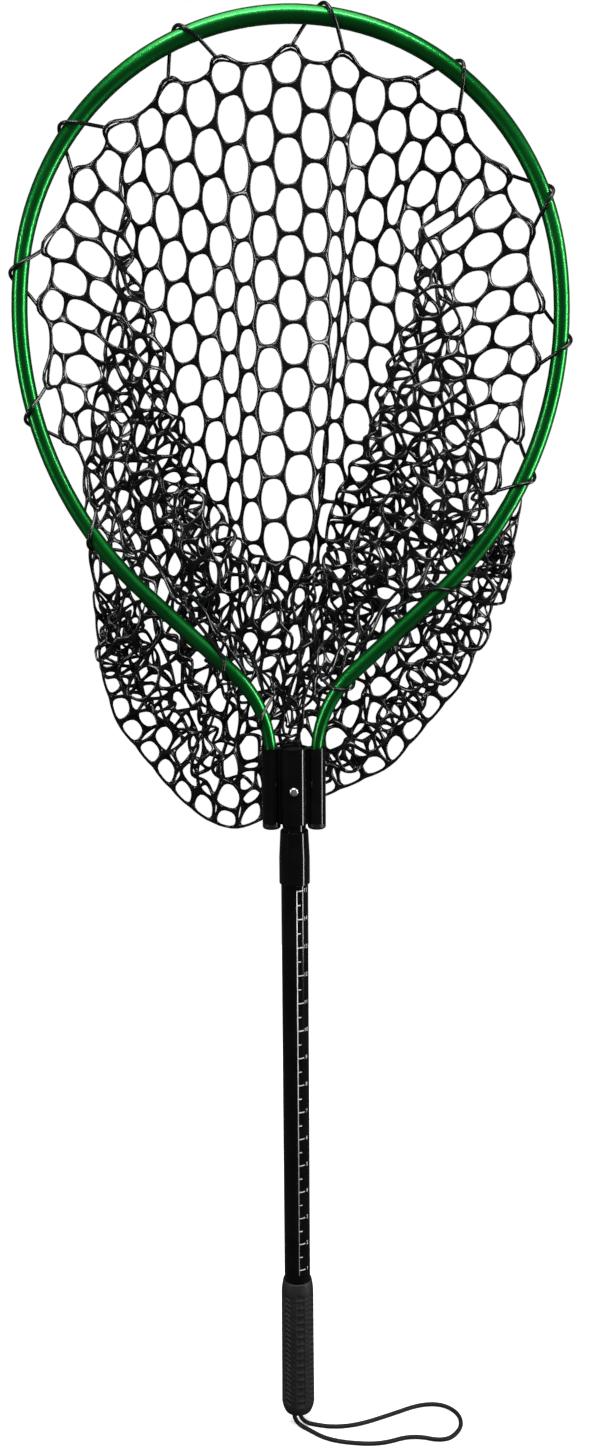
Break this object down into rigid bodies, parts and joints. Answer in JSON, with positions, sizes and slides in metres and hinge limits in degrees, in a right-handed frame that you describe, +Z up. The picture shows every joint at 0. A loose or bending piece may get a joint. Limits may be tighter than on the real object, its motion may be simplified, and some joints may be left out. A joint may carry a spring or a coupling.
{
  "type": "landing net",
  "caption": "Landing net with a teardrop hoop, a moulded rubber mesh bag and a telescopic handle with a wrist loop.",
  "frame": {"origin": "middle of the hand grip, on the handle's axis", "axes": "+Z up the handle towards the hoop, +X to the right, -Y the net's open side"},
  "size_m": [0.4472, 0.145, 1.2284],
  "materials": {
    "green_anodised": "gloss",
    "black_anodised": "gloss",
    "black_plastic": "gloss",
    "lock_plastic": "satin",
    "black_rubber": "matte",
    "mesh_rubber": "gloss",
    "steel": "polished",
    "lanyard_nylon": "matte",
    "scale_print": "matte"
  },
  "bodies": {
    "handle": {"handle_tube": "black_anodised", "handle_collar": "black_anodised", "collar_bush": "black_plastic", "length_scale": "scale_print", "grip": "black_rubber", "butt_plug": "black_plastic", "lanyard_cord": "lanyard_nylon", "lanyard_knot": "lanyard_nylon"},
    "lock": {"lock_ring": "lock_plastic"},
    "head": {"inner_tube": "black_anodised", "inner_tube_cap": "black_plastic", "lock_cam": "lock_plastic", "yoke_body": "black_anodised", "yoke_cap_left": "black_plastic", "yoke_cap_right": "black_plastic", "hoop_screws": "steel", "button_spring": "steel", "hoop_tube": "green_anodised", "rim_loops": "mesh_rubber", "net_bag": "mesh_rubber"},
    "button": {"snap_button": "steel"}
  },
  "joints": [
    {"name": "handle_extend", "type": "slide", "parent": "handle", "child": "lock", "axis": [0, 0, 1], "range_m": [0, 0.36]},
    {"name": "lock_twist", "type": "hinge", "parent": "lock", "child": "head", "pos_m": [0, 0, 0], "axis": [0, 0, 1], "range_deg": [-90, 90]},
    {"name": "button_press", "type": "slide", "parent": "head", "child": "button", "axis": [0, 1, 0], "range_m": [0, 0.004], "stiffness_N_per_m": 1500, "springref_m": -0.002, "deforming": ["button_spring"]}
  ]
}
